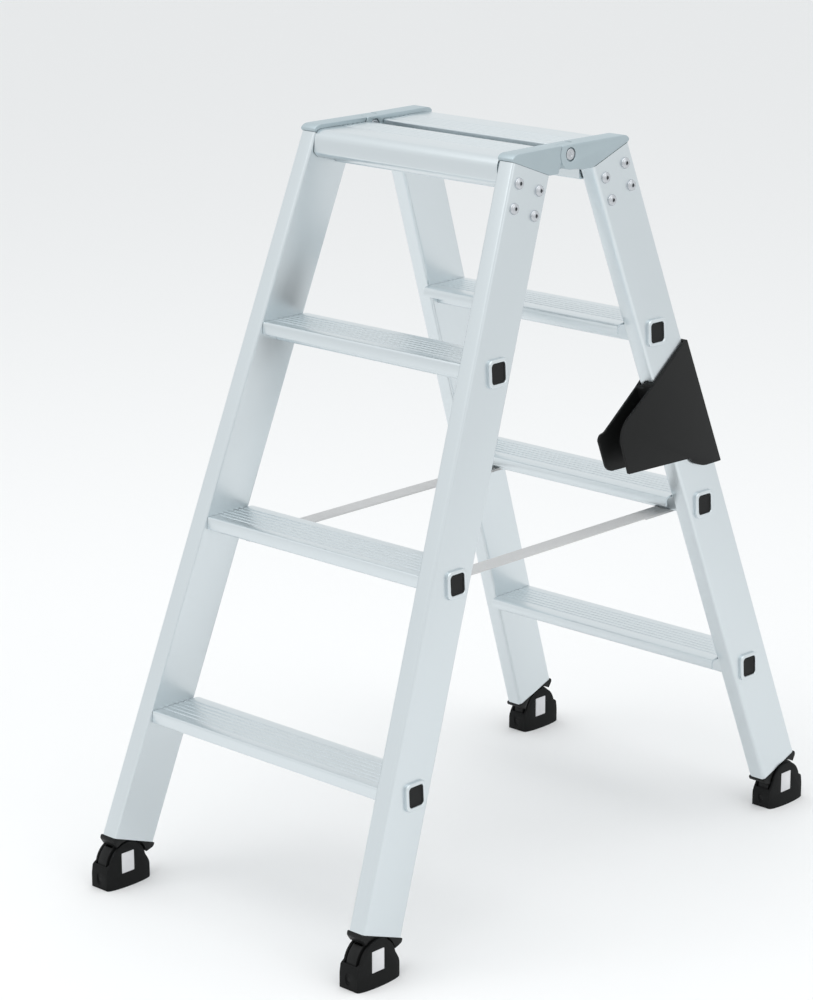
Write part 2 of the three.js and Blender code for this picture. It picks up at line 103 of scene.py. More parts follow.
RIVET_YS = (-83.5, -44.9)  # two pairs of blind rivets below the top of each stile
RIVET_HEIGHTS = (-53.6, -83.6)
AXLE = 3.0  # radius of a foot's tilt axle and rocking rod
ROD_HEIGHT = -13.5  # the rocking rod, about the tilt axis
DRUM = {"radius": 31.5, "half": 7.7, "low": -17.8, "slot": 4.7}  # the part of a foot that tilts
TONGUE = {"radius": 9, "half": 4, "top": 37}  # hangs from the collar into the drum's slot
PLATE = {"half": 10, "low": -9.5, "high": 17, "round": 0.6, "back": 12.6, "face": 14.2}  # in a shoe's cheek
WELD = 0.001  # vertices this close are one
SMOOTH_BELOW = 35  # an edge that turns less than this, in degrees, is shaded smooth

# The view and the light, about the middle of the CAD box: angles in degrees, distances in metres, and the
# lens and the sensor in millimetres.
CAMERA = {"azimuth": 43.22, "elevation": 15.93, "distance": 3.89, "lens": 137.2, "sensor": 36}
CAMERA_AIM = (-0.046, -0.052, -0.0045)  # from the middle of the CAD box
LAMP_DISTANCE = 3.2
LAMPS = (  # name, azimuth, elevation, size, watts
    ("key_light", 350, 58, 2.6, 26), ("side_light", 95, 38, 2.0, 8), ("top_light", 180, 82, 2.6, 14),
)
SKY = {"colour": (0.97, 0.99, 1.0, 1), "strength": 0.93}
FLOOR_HALF = 14


# ---------- outlines and solids ----------
def turned(y, z):
    """From a section's own frame to the level frame about the hinge axis."""
    return (y * math.cos(LEAN) + z * math.sin(LEAN), -y * math.sin(LEAN) + z * math.cos(LEAN))


def stile_face(height=0.0, inset=0.0):
    """X of a right stile's outer face, less an inset, in a level frame placed this high up the section."""
    return lambda y, z: STILE["x"] - inset - SLOPE * (height + y * math.sin(LEAN) + z * math.cos(LEAN))


def flat(x):
    """An upright end at X."""
    return lambda y, z: x


def opposite(face):
    """The same face on the left stile."""
    return lambda y, z: -face(y, z)


def arc(y, z, radius, start, end, steps):
    """Points of an arc about (y, z), with no corner of their own to round."""
    turns = [math.radians(start + (end - start) * i / steps) for i in range(steps + 1)]
    return [(y + radius * math.cos(a), z + radius * math.sin(a), 0) for a in turns]


def outline(points, segments=4):
    """A face in the YZ plane; each point is (y, z, cut back), and the corner is rounded by that much."""
    bm = bmesh.new()
    verts = [bm.verts.new((0, p[0], p[1])) for p in points]
    bm.faces.new(verts)
    for cut_back in sorted({p[2] for p in points if p[2]}):
        chosen = [v for v, p in zip(verts, points) if p[2] == cut_back]
        bmesh.ops.bevel(
            bm, geom=chosen, offset=cut_back, offset_type="OFFSET", segments=segments,
            profile=0.5, affect="VERTICES", material=-1,
        )
    return bm


def rounded_square(half, radius):
    """A square about the axis with rounded corners."""
    corners = [(-half, -half), (half, -half), (half, half), (-half, half)]
    return outline([(y, z, radius) for y, z in corners], 6)


def extruded(bm):
    """Extrudes every face in place, and returns the new vertices for their caller to move."""
    made = bmesh.ops.extrude_face_region(bm, geom=list(bm.faces), use_keep_orig=True)
    return [g for g in made["geom"] if isinstance(g, bmesh.types.BMVert)]


def prism(bm, near, far):
    """Carries the faces of an outline from one end to the other, each end's X a function of (y, z)."""
    start = list(bm.verts)
    for v in extruded(bm):
        v.co.x = far(v.co.y, v.co.z)
    for v in start:
        v.co.x = near(v.co.y, v.co.z)
    bmesh.ops.recalc_face_normals(bm, faces=bm.faces)
    return bm


def ring(bm, wall):
    """Turns an outline's one face into a band of this width inside its edge."""
    inner = list(bm.faces)
    bmesh.ops.inset_region(bm, faces=inner, thickness=wall, use_even_offset=True, use_boundary=True)
    bmesh.ops.delete(bm, geom=inner, context="FACES")
    return bm


def eased(bm, width, segments=2, limit=35):
    """Rounds every edge that turns by more than the limit, in degrees."""
    sharp = [e for e in bm.edges if e.is_manifold and e.calc_face_angle(0) > math.radians(limit)]
    bmesh.ops.bevel(
        bm, geom=sharp, offset=width, offset_type="OFFSET", segments=segments, profile=0.5,
        affect="EDGES", clamp_overlap=True, material=-1,
    )
    return bm


def combined(bm, operation, *others):
    """The solid joined with ("UNION") or less ("DIFFERENCE") the others."""
    objects = [loose(shape) for shape in (bm, *others)]
    for other in objects[1:]:
        step = objects[0].modifiers.new(operation, "BOOLEAN")
        step.operation = operation
        step.solver = "EXACT"
        step.object = other
    evaluated = objects[0].evaluated_get(bpy.context.evaluated_depsgraph_get())
    result = bmesh.new()
    result.from_mesh(evaluated.to_mesh())
    for obj in objects:
        bpy.data.meshes.remove(obj.data)
    bmesh.ops.remove_doubles(result, verts=result.verts, dist=2 * WELD)
    level = math.radians(0.5)
    bmesh.ops.dissolve_limit(result, angle_limit=level, verts=result.verts, edges=result.edges)
    return result


def loose(bm):
    """A passing object for a boolean."""
    mesh = bpy.data.meshes.new("shape")
    bm.to_mesh(mesh)
    bm.free()
    obj = bpy.data.objects.new("shape", mesh)
    bpy.context.scene.collection.objects.link(obj)
    return obj


def merged(*shapes):
    """Several shells in one mesh."""
    whole = bmesh.new()
    for shape in shapes:
        mesh = bpy.data.meshes.new("shell")
        shape.to_mesh(mesh)
        shape.free()
        whole.from_mesh(mesh)
        bpy.data.meshes.remove(mesh)
    return whole


def lathe(points, segments=40):
    """Turns (radius, height) points, from axis to axis, round the X axis; height goes towards +X."""
    bm = bmesh.new()
    verts = [bm.verts.new((height, radius, 0)) for radius, height in points]
    edges = [bm.edges.new(pair) for pair in zip(verts, verts[1:])]
    bmesh.ops.spin(
        bm, geom=verts + edges, cent=(0, 0, 0), axis=(1, 0, 0), angle=math.tau,
        steps=segments, use_merge=True,
    )
    bmesh.ops.remove_doubles(bm, verts=bm.verts, dist=WELD)
    bmesh.ops.recalc_face_normals(bm, faces=bm.faces)
    return bm


def drum(radius, x0, x1, segments=64):
    """A cylinder along X."""
    bm = bmesh.new()
    bmesh.ops.create_cone(
        bm, cap_ends=True, segments=segments, radius1=radius, radius2=radius, depth=x1 - x0,
        matrix=Matrix.Translation(((x0 + x1) / 2, 0, 0)) @ Matrix.Rotation(math.pi / 2, 4, "Y"),
    )
    return bm


def rod(radius, y0, y1, z, high=1.0):
    """A cylinder along Y at a height, stretched upwards by high."""
    bm = bmesh.new()
    turn = Matrix.Translation((0, (y0 + y1) / 2, z)) @ Matrix.Diagonal((1, 1, high, 1))
    bmesh.ops.create_cone(
        bm, cap_ends=True, segments=32, radius1=radius, radius2=radius, depth=y1 - y0,
        matrix=turn @ Matrix.Rotation(math.pi / 2, 4, "X"),
    )
    return bm


def block(low, high):
    """A box from its low corner to its high one."""
    bm = bmesh.new()
    low, high = Vector(low), Vector(high)
    bmesh.ops.create_cube(
        bm, size=1, matrix=Matrix.Translation((low + high) / 2) @ Matrix.Diagonal((*(high - low), 1))
    )
    return bm


def moved(bm, x=0.0, y=0.0, z=0.0):
    """The shape, carried along by this much."""
    bmesh.ops.translate(bm, verts=bm.verts, vec=(x, y, z))
    return bm


# ---------- placing ----------
def to_corner(corner):
    """The matrix from the front right corner to another: a mirror, half a turn, or both."""
    mirror = Matrix.Diagonal((-1, 1, 1, 1))
    place = Matrix.Identity(4)
    if corner in ("front_left", "rear_right"):
        place = mirror
    if corner.startswith("rear"):
        place = Matrix.Rotation(math.pi, 4, "Z") @ place
    return place


def settle(bm, name, finish, body, nodes, place=Matrix.Identity(4)):
    """Makes the piece in metres, shades it, hides the CAD parts it stands for, and hangs it from the body,
    if any, it rides.
    """
    mesh = bpy.data.meshes.new(name)
    bm.to_mesh(mesh)
    place = Matrix.Diagonal((MM, MM, MM, 1)) @ place
    mesh.transform(place)
    if place.determinant() < 0:
        mesh.flip_normals()
    mesh.shade_smooth()
    mesh.set_sharp_from_angle(angle=math.radians(SMOOTH_BELOW))
    mesh.materials.append(finish)
    obj = bpy.data.objects.new(name, mesh)
    bpy.context.scene.collection.objects.link(obj)
    if body:
        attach(obj, body)
    if nodes:
        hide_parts(*nodes)
    return obj


def at_corners(bm, name, node, finish, body="{end}_section", corners=CORNERS):
    """The same piece at each corner: its words fill name, node and body, and a finish may go by its end."""
    for corner in corners:
        end, side = corner.split("_")
        words = {"corner": corner, "end": end, "side": side}
        look = finish[end] if isinstance(finish, dict) else finish
        nodes = [node.format(**words)] if node else []
        settle(bm, name.format(**words), look, body.format(**words), nodes, to_corner(corner))
    bm.free()


# ---------- finishes ----------
def linear(text):
    """A hex sRGB colour as linear RGBA."""
    parts = [int(text[i:i + 2], 16) / 255 for i in (1, 3, 5)]
    return (*(c / 12.92 if c <= 0.04045 else ((c + 0.055) / 1.055) ** 2.4 for c in parts), 1.0)


def add(tree, kind, settings=None, **links):
    """Adds a node, sets its properties and sockets, and links its named inputs."""
    node = tree.nodes.new(kind)
    for key, value in (settings or {}).items():
        if hasattr(node, key):
            setattr(node, key, value)
        else:
            node.inputs[key].default_value = value
    for key, source in links.items():
        tree.links.new(source, node.inputs[key.replace("_", " ")])
    return node


def material(name, colour, roughness, metallic=0.0, **sockets):
    """A material with its shader, ready for the nodes that texture it."""
    look = bpy.data.materials.new(name)
    look.use_nodes = True
    shader = look.node_tree.nodes["Principled BSDF"]
    shader.inputs["Base Color"].default_value = tuple(colour)
    shader.inputs["Roughness"].default_value = roughness
    shader.inputs["Metallic"].default_value = metallic
    for key, value in sockets.items():
        shader.inputs[key.replace("_", " ")].default_value = value
    return look, look.node_tree, shader


def textured_colour(tree, shader, factor, low, high):
    """Mixes the base colour between two shares of itself."""
    colour = shader.inputs["Base Color"].default_value[:]
    mix = add(tree, "ShaderNodeMix", {"data_type": "RGBA"})
    colour_a, colour_b, colour_out = mix.inputs[6], mix.inputs[7], mix.outputs[2]
    colour_a.default_value = (*(c * low for c in colour[:3]), 1)
    colour_b.default_value = (*(min(c * high, 1) for c in colour[:3]), 1)
    tree.links.new(factor, mix.inputs["Factor"])
    tree.links.new(colour_out, shader.inputs["Base Color"])


def extruded_aluminium(name, colour, tilt=0.0, along="Z"):
    """Mill-finish extrusion: fine die lines run along the bar, so highlights smear softly across them."""
    look, tree, shader = material(name, colour, 0.3, 1.0)
    place = add(tree, "ShaderNodeTexCoord")
    stretch = (400, 400, 2) if along == "Z" else (2, 400, 400)
    turn = add(
        tree, "ShaderNodeMapping", {"Rotation": (tilt, 0, 0), "vector_type": "TEXTURE"},
        Vector=place.outputs["Object"],
    )
    lines = add(tree, "ShaderNodeMapping", {"Scale": stretch}, Vector=turn.outputs["Vector"])
    die = add(tree, "ShaderNodeTexNoise", {"Scale": 1.0, "Detail": 1.0}, Vector=lines.outputs["Vector"])
    broad = add(tree, "ShaderNodeTexNoise", {"Scale": 9.0, "Detail": 2.0}, Vector=turn.outputs["Vector"])
    rough = add(
        tree, "ShaderNodeMapRange", {"From Min": 0.3, "From Max": 0.7, "To Min": 0.28, "To Max": 0.31},
        Value=die.outputs["Fac"],
    )
    tree.links.new(rough.outputs["Result"], shader.inputs["Roughness"])
    textured_colour(tree, shader, broad.outputs["Fac"], 0.985, 1.01)
    bump = add(tree, "ShaderNodeBump", {"Strength": 0.02, "Distance": 0.00001}, Height=die.outputs["Fac"])
    tree.links.new(bump.outputs["Normal"], shader.inputs["Normal"])
    return look


def cast_aluminium(colour):
    """Blasted die casting: a fine even grit that softens every highlight."""
    look, tree, shader = material("cast_aluminium", colour, 0.5, 0.85)
    place = add(tree, "ShaderNodeTexCoord")
    grit = add(tree, "ShaderNodeTexNoise", {"Scale": 1600.0, "Detail": 2.0}, Vector=place.outputs["Object"])
    cloud = add(tree, "ShaderNodeTexNoise", {"Scale": 22.0, "Detail": 3.0}, Vector=place.outputs["Object"])
    textured_colour(tree, shader, cloud.outputs["Fac"], 0.94, 1.05)
    bump = add(tree, "ShaderNodeBump", {"Strength": 0.18, "Distance": 0.0002}, Height=grit.outputs["Fac"])
    tree.links.new(bump.outputs["Normal"], shader.inputs["Normal"])
    return look


def zinc_steel(name, colour):
    """Zinc-plated steel: smooth with a faintly clouded plating, so the small heads glint unevenly."""
    look, tree, shader = material(name, colour, 0.26, 1.0)
    place = add(tree, "ShaderNodeTexCoord")
    cloud = add(tree, "ShaderNodeTexNoise", {"Scale": 260.0, "Detail": 2.0}, Vector=place.outputs["Object"])
    rough = add(
        tree, "ShaderNodeMapRange", {"To Min": 0.2, "To Max": 0.36}, Value=cloud.outputs["Fac"],
    )
    tree.links.new(rough.outputs["Result"], shader.inputs["Roughness"])
    return look


def moulded(name, colour, roughness, grain, depth, gloss=0.5):
    """Injection-moulded plastic or rubber: a fine grain, depth in millimetres, turns gloss to a sheen."""
    look, tree, shader = material(name, colour, roughness, Specular_IOR_Level=gloss)
    place = add(tree, "ShaderNodeTexCoord")
    skin = add(tree, "ShaderNodeTexNoise", {"Scale": grain, "Detail": 2.0}, Vector=place.outputs["Object"])
    cloud = add(tree, "ShaderNodeTexNoise", {"Scale": 40.0, "Detail": 2.0}, Vector=place.outputs["Object"])
    textured_colour(tree, shader, cloud.outputs["Fac"], 0.85, 1.15)
    bump = add(tree, "ShaderNodeBump", {"Strength": 0.3, "Distance": depth * MM}, Height=skin.outputs["Fac"])
    tree.links.new(bump.outputs["Normal"], shader.inputs["Normal"])
    return look


def polyester_webbing(colour):
    """Woven polyester: ribs along the strap, crossed by weft, give it the dull checked face of webbing."""
    look, tree, shader = material("polyester_webbing", colour, 0.85, Sheen_Weight=0.25)
    place = add(tree, "ShaderNodeUVMap", {"uv_map": "length"})
    apart = add(tree, "ShaderNodeSeparateXYZ", Vector=place.outputs["UV"])
    waves = []
    for axis, pitch in (("X", 1.3), ("Y", 1.2)):
        turns = add(tree, "ShaderNodeMath", {"operation": "MULTIPLY"})
        tree.links.new(apart.outputs[axis], turns.inputs[0])
        turns.inputs[1].default_value = math.tau / (pitch * MM)
        wave = add(tree, "ShaderNodeMath", {"operation": "SINE"})
        tree.links.new(turns.outputs[0], wave.inputs[0])
        waves.append(wave)
    weave = add(tree, "ShaderNodeMath", {"operation": "MULTIPLY"})
    for i, wave in enumerate(waves):
        tree.links.new(wave.outputs[0], weave.inputs[i])
    shade = add(tree, "ShaderNodeMapRange", {"From Min": -1.0, "From Max": 1.0}, Value=weave.outputs[0])
    textured_colour(tree, shader, shade.outputs["Result"], 0.82, 1.06)
    bump = add(tree, "ShaderNodeBump", {"Strength": 0.5, "Distance": 0.0002}, Height=shade.outputs["Result"])
    tree.links.new(bump.outputs["Normal"], shader.inputs["Normal"])
    return look


FINISHES = {}


def finishes(context):
    """The materials, made once from the colours in the panel."""
    if FINISHES:
        return FINISHES
    c = context.scene.ladder_colours
    FINISHES.update({
        "stile": {
            "front": extruded_aluminium("stile_aluminium_front", c.aluminium, -LEAN),
            "rear": extruded_aluminium("stile_aluminium_rear", c.aluminium, LEAN),
        },
        "tread": extruded_aluminium("tread_aluminium", c.aluminium, along="X"),
        "casting": cast_aluminium(c.casting),
        "steel": zinc_steel("zinc_plated_steel", c.steel),
        "mandrel": zinc_steel("broken_steel_mandrel", c.mandrel),
        "black": moulded("black_polyamide", c.black, 0.5, 1400.0, 0.06, 0.22),
        "rubber": moulded("black_rubber", c.black, 0.62, 900.0, 0.08, 0.15),
        "grey": moulded("light_grey_polyamide", c.grey, 0.45, 1400.0, 0.04),
        "webbing": polyester_webbing(c.webbing),
    })
    return FINISHES


# ---------- pieces ----------
def stile_shape():
    """The box extrusion, open at its ends."""
    s = STILE
    bm = outline([
        (s["out"], -s["thick"], s["round"]), (s["in"], -s["thick"], s["round"]),
        (s["in"], 0, s["round"]), (s["out"], 0, s["round"]),
    ], 6)
    ring(bm, STILE_WALL)
    for v in bm.verts:
        v.co = (v.co.z, v.co.y, 0)
    top = set(extruded(bm))
    for v in bm.verts:
        height = s["top"] if v in top else s["bottom"]
        x = v.co.x + s["x"] - SLOPE * height
        v.co = (x, *turned(v.co.y, height))
    bmesh.ops.recalc_face_normals(bm, faces=bm.faces)
    return moved(bm, z=HINGE.z)


def grooves(first, pitch, count, wide, deep, top):
    """Lengthwise grooves across a level top, front to rear, with soft edges."""
    points = []
    for i in range(count):
        y = first + i * pitch
        points += [
            (y, top, 0.6), (y + wide * 0.22, top - deep, 0.4),
            (y + wide * 0.78, top - deep, 0.4), (y + wide, top, 0.6),
        ]
    return points


def tread_outline(deep):
    """The tread's section: a nose lip, a grooved top, a hooked rear lip and the tube below."""
    tube = TUBE_HALF
    return outline([
        (-37.5, -2.5, 0.9), (-37.5, 13, 3.0), *grooves(deep=deep, **TREAD_GROOVES), (37, 13, 4.0),
        (41.6, 11.2, 1.5), (43.5, 7.5, 2.0), (43.5, 0, 0.9), (41, 0, 0.9), (41, 7.5, 1.0), (38, 10.5, 1.2),
        (tube, 10.5, 1.0), (tube, -tube, 3.0), (-tube, -tube, 3.0), (-tube, 10.5, 1.0),
        (-35, 10.5, 1.2), (-35, -2.5, 0.9),
    ])


def tread_shape(number, deep):
    """A tread with its tube, and the flared rim that shows outside each stile."""
    height = TUBE_HEIGHTS[number - 1]
    y, z = turned(TUBE_Y, height)
    inner = stile_face(height, STILE["thick"] + SEAM)
    shells = [prism(tread_outline(deep), opposite(inner), inner)]
    lip = stile_face(height, RIM["sunk"])
    face = stile_face(height, -SEAM - RIM["proud"])
    for side, ends in ((1, (lip, face)), (-1, (opposite(face), opposite(lip)))):
        rim = prism(rounded_square(RIM["half"], RIM["round"]), *ends)
        hole = rounded_square(RIM["mouth"], RIM["mouth_round"])
        mouth = prism(hole, flat(INSIDE * side), flat(BEYOND * side))
        shells.append(eased(combined(rim, "DIFFERENCE", mouth), RIM["edge"], 3, 50))
    return moved(merged(*shells), 0, y, HINGE.z + z)


def plug_shape(number):
    """The right-hand end cap of a step tube: a dished face inside a narrow border."""
    height = TUBE_HEIGHTS[number - 1]
    y, z = turned(TUBE_Y, height)
    ends = (stile_face(height, PLUG["deep"]), stile_face(height, -SEAM - PLUG["proud"]))
    bm = prism(rounded_square(PLUG["half"], PLUG["round"]), *ends)
    face = max(bm.faces, key=lambda f: f.calc_center_median().x)
    bmesh.ops.inset_region(bm, faces=[face], thickness=PLUG["border"], depth=0)
    bmesh.ops.inset_region(bm, faces=[face], thickness=PLUG["slope"], depth=-PLUG["dish"])
    return moved(eased(bm, 0.35, 2, 50), 0, y, HINGE.z + z)


def platform_shape(deep):
    """Half of the platform: rounded nose, grooves near the middle gap, a skirt and a box rib below."""
    points = [
        (-97.5, -29, 0.8), (-103.5, -25, 1.5), (-106.5, -21.5, 1.5), (-106.5, 6.5, 12.0),
        *grooves(deep=deep, **PLATFORM_GROOVES), (-13.5, 6.5, 2.0), (-13.5, -22, 0.8), (-15.9, -22, 0.8),
        (-15.9, 4, 1.0), (-42, 4, 1.0), (-42, -38, 2.0), (-68, -38, 2.0), (-68, 4, 1.0), (-104, 4, 9.6),
        (-104, -20.6, 1.0), (-101.8, -23, 0.8), (-96.4, -26.8, 0.8),
    ]
    end = stile_face(0, STILE["thick"] + 1.0)
    return moved(prism(outline(points, 6), opposite(end), end), z=HINGE.z)


def spigot_outline(low, high, cut_back, y0=0.0, z0=0.0):
    """The part of a casting or collar inside a stile, from one height to another, about (y0, z0)."""
    rear, front = STILE["in"] - SPIGOT_INSET, STILE["out"] + SPIGOT_INSET
    corners = [(rear, low), (front, low), (front, high), (rear, high)]
    level = [turned(y, z) for y, z in corners]
    return outline([(y - y0, z - z0, cut_back) for y, z in level])


def spigot_ends():
    """The inner and outer faces of a spigot."""
    return stile_face(0, STILE["thick"] - SPIGOT_INSET), stile_face(0, SPIGOT_INSET)


def casting_shape(eye_outside):
    """The hinge casting of the front right corner, with its lug in one half of its thickness."""
    top, split = 12.0, 160.0  # Z of the top, and X where the lugs of the two castings meet
    eye, socket = 18.0, 19.3  # radius of the lug, and of the hollow that the other casting's lug turns in
    reach = math.degrees(math.asin(top / eye))
    mouth = math.degrees(math.asin(top / socket))
    cut_line = STILE["top"] + SEAM
    body = outline([
        (*turned(STILE["in"], cut_line), 1.5), (*turned(STILE["out"], cut_line), 1.0),
        (-106.5, 6.5, 2.0), (-103, 10.5, 3.0), (-97, top, 2.5), *arc(0, 0, eye, reach, -90, 24),
        (-13, -18.4, 1.0), (-16, -20.2, 2.0),
    ], 5)
    recess = outline([
        (40, top + 4, 0), (-socket * math.cos(math.radians(mouth)), top + 4, 0),
        *arc(0, 0, socket, 180 - mouth, 200, 14), (-24, -20.5, 0), (-24, -30, 0), (40, -30, 0),
    ])
    ends = (INSIDE, split + SEAM) if eye_outside else (split - SEAM, BEYOND)
    outer_seat = STILE["x"] - PIN["seat_deep"]
    inner_seat = STILE["x"] - STILE["thick"] + PIN["seat_deep"]
    solid = combined(
        prism(body, stile_face(0, STILE["thick"]), stile_face()), "DIFFERENCE",
        prism(recess, flat(ends[0]), flat(ends[1])),
        drum(PIN["seat"], outer_seat, BEYOND), drum(PIN["seat"], INSIDE, inner_seat),
        drum(PIN["radius"] + SEAM, INSIDE, BEYOND, segments=32),
    )
    spigot = prism(spigot_outline(cut_line - 60, cut_line + 1, 3.0), *spigot_ends())
    return moved(merged(eased(solid, 1.3, 3, 30), spigot), z=HINGE.z)


def pin_shape():
    """The right-hand hinge pin: a shank with a dished, peened head at each end."""
    outer, inner = STILE["x"] - PIN["sunk"], STILE["x"] - STILE["thick"] + PIN["sunk"]
    wide, thick = PIN["head"], PIN["thick"]
    head = [(wide, thick), (wide, 0.9), (6.4, 0.3), (3.6, 0.0), (2.9, 0.25), (2.2, 1.1), (0.0, 1.2)]
    near = [(r, inner + d) for r, d in reversed(head)]
    far = [(r, outer - d) for r, d in head]
    shank = [(PIN["radius"], inner + thick), (PIN["radius"], outer - thick)]
    return moved(lathe([*near, *shank, *far]), z=HINGE.z)


def rivet_shape():
    """The large flange of a blind rivet, standing on X = 0 towards +X, with a hole for its mandrel."""
    return lathe([
        (0, -1.0), (7.0, -1.0), (7.1, 0.5), (6.9, 1.4), (6.2, 2.5), (5.0, 3.3), (3.4, 3.8), (2.5, 3.85),
        (2.2, 3.5), (2.15, 2.2), (0, 2.2),
    ], 48)


def mandrel_shape():
    """The broken end of the mandrel left in a blind rivet."""
    return lathe([(0, 2.25), (2.05, 2.25), (2.05, 2.7), (1.6, 3.0), (0, 3.05)], 24)


def clamp_shape():
    """The transport clamp, on the right stile: a sleeve, and a jaw open towards the other section."""
    wall = 4.0
    jaw = {"ease": 0.9, "start": -24.5, "end": 120}
    outer = [
        (-103.6, -308, 1.6), (-105.6, -486, 1.5), (-73.3, -474.7, 6.0), (-57.2, -461.7, 5.0),
        (-52.9, -451.9, 1.0), (57.1, -409.1, 1.2), (53.9, -360.3, 8.0), (40.3, -346.6, 8.0),
        (-24.7, -330.4, 2.0),
    ]
    inner = [
        (-103.6, -308, 2.5), (-105.6, -486, 1.5), (-73.3, -474.7, 6.0), (-27.7, -443, 2.0),
        (57.9, -410.5, 4.0), (63.7, -403.1, 4.0), (62.9, -362.9, 2.5), (57.1, -358.5, 2.5),
        (49.1, -359.9, 2.5), (-24.9, -337.9, 3.0), (-32.3, -335.3, 1.5),
    ]

    def face(inset):
        """X of the stile's outer face, less an inset, in the section's own frame."""
        return lambda y, z: STILE["x"] - inset - SLOPE * z

    def slot(ease, y0, y1):
        """A cutter as thick as a stile and its ease, from y0 to y1, taller than the clamp."""
        low, high = -600, -200
        sides = [(y0, low, 0), (y1, low, 0), (y1, high, 0), (y0, high, 0)]
        return prism(outline(sides), face(STILE["thick"] + ease), face(-ease))

    middle = STILE["thick"] / 2
    plates = combined(
        prism(outline(outer), face(middle + 1), face(-wall)), "UNION",
        prism(outline(inner), face(STILE["thick"] + wall), face(middle - 1)),
    )
    sleeve = slot(SEAM, STILE["out"] - SEAM, STILE["in"] + SEAM)
    mouth = slot(jaw["ease"], jaw["start"], jaw["end"])
    solid = combined(plates, "DIFFERENCE", sleeve, mouth)
    for v in solid.verts:
        v.co.y, v.co.z = turned(v.co.y, v.co.z)
    return moved(eased(solid, 1.1, 3, 35), z=HINGE.z)


def collar_shape():
    """The collar under a stile: a lip, a spigot, a concave seat and the tongue that holds the tilt axle."""
    y0, z0 = FOOT.y, FOOT.z - HINGE.z
    top = STILE["bottom"] - SEAM
    over = 0.6  # the lip stands this far outside the stile's faces
    rear, front = STILE["in"] + over, STILE["out"] - over

    def local(y, z, cut_back):
        """A point of the section's frame as an outline point about the tilt axis."""
        level = turned(y, z)
        return (level[0] - y0, level[1] - z0, cut_back)

    def about_foot(face):
        """A face of the stile, in the frame about the tilt axis."""
        return lambda y, z: face(y + y0, z + z0) - FOOT.x

    lip = prism(outline([
        local(rear, top, 1.0), local(front, top, 1.0), local(front, top - 5, 2.0),
        *arc(0, 0, 28.6, 123, 14, 8), local(rear, top - 5, 2.0),
    ]), about_foot(stile_face(0, STILE["thick"] + over)), about_foot(stile_face(0, -over)))
    spigot = prism(
        spigot_outline(top - 2, top + 26, 0, y0, z0), *(about_foot(face) for face in spigot_ends())
    )
    seat = drum(DRUM["radius"] + 1.1, -60, 60, segments=120)
    saddle = combined(combined(lip, "UNION", spigot), "DIFFERENCE", seat)
    root = [(7, TONGUE["top"], 0), (-7, TONGUE["top"], 0)]
    tongue = prism(
        outline([*root, *arc(0, 0, TONGUE["radius"], 150, 390, 24)]),
        flat(-TONGUE["half"]), flat(TONGUE["half"]),
    )
    bore = drum(AXLE + SEAM, -20, 20, segments=32)
    whole = combined(combined(saddle, "UNION", tongue), "DIFFERENCE", bore)
    return moved(eased(whole, 0.7, 2, 35), *FOOT)


def swivel_shape():
    """The drum that tilts on the collar's tongue, with its cross axle and its lengthwise rod."""
    radius, half, slot = DRUM["radius"], DRUM["half"], DRUM["slot"]
    edge = math.degrees(math.asin(DRUM["low"] / radius))
    body = combined(
        prism(outline(arc(0, 0, radius, edge, 180 - edge, 80)), flat(-half), flat(half)), "DIFFERENCE",
        block((-slot, -19, -9.9), (slot, 19, 60)),
    )
    axle = drum(AXLE, 0.1 - half, half - 0.1, segments=32)
    return moved(merged(eased(body, 0.8, 2, 40), axle, rod(AXLE, -34.6, 34.6, ROD_HEIGHT)), *FOOT)


def plate_outline(gap, segments):
    """The edge of a shoe's light plate, or of its bed, which is larger by a gap."""
    half, low, high = PLATE["half"] + gap, PLATE["low"] - gap, PLATE["high"] + gap
    corners = [(-half, low), (half, low), (half, high), (-half, high)]
    return outline([(y, z, PLATE["round"]) for y, z in corners], segments)


def shoe_shape():
    """The shoe: rounded cheeks on a sole that bulges at its middle, hollow for the drum."""
    end, half, bulge, floor = 36.0, 13.8, 20.0, -FOOT.z
    step = 0.2  # between the body's faces and the sole's, so that the two can be joined
    waist = half - step
    side = [
        (-end, floor + step, 1.2), (end, floor + step, 1.2),
        (end, -8.5, 1.5), (35.2, -5.1, 1.5), (32.7, 0.1, 1.5),
        *arc(0, 0, 29.5, 12, 166, 48),
        (-30.4, 6.3, 0.4), (-34.2, 3.6, 1.5), (-end, -7.5, 3.0),
    ]
    body = prism(outline(side, 5), flat(-half), flat(half))
    sole = bmesh.new()
    bmesh.ops.create_circle(sole, cap_ends=True, segments=64, radius=1)
    for v in sole.verts:
        wide = waist + (bulge - waist) * math.sqrt(max(0, 1 - v.co.y ** 2))
        v.co = (math.copysign(wide, v.co.x), v.co.y * (end - 0.6), floor)
    for v in extruded(sole):
        v.co.x = math.copysign(waist - 0.4, v.co.x)
        v.co.z = -10
    bmesh.ops.recalc_face_normals(sole, faces=sole.faces)
    room, room_low, room_half = DRUM["radius"] + 1.2, -18.6, 10.8
    pocket = prism(
        outline([*arc(0, 0, room, 0, 180, 60), (-room, room_low, 0), (room, room_low, 0)]),
        flat(-room_half), flat(room_half),
    )
    past = 60  # beyond every face of the shoe
    bed = PLATE["back"] - SEAM
    slot_end, slot_height, slot_radius, slot_high = 35.2, -12.5, 4.5, 1.75
    whole = combined(
        combined(body, "UNION", sole), "DIFFERENCE", pocket,
        prism(plate_outline(SEAM, 4), flat(bed), flat(past)),
        prism(plate_outline(SEAM, 4), flat(-past), flat(-bed)),
        rod(AXLE + 0.35, -past, past, ROD_HEIGHT),
        rod(slot_radius, -past, -slot_end, slot_height, slot_high),
        rod(slot_radius, slot_end, past, slot_height, slot_high),
    )
    return moved(eased(whole, 0.9, 3, 38), *FOOT)


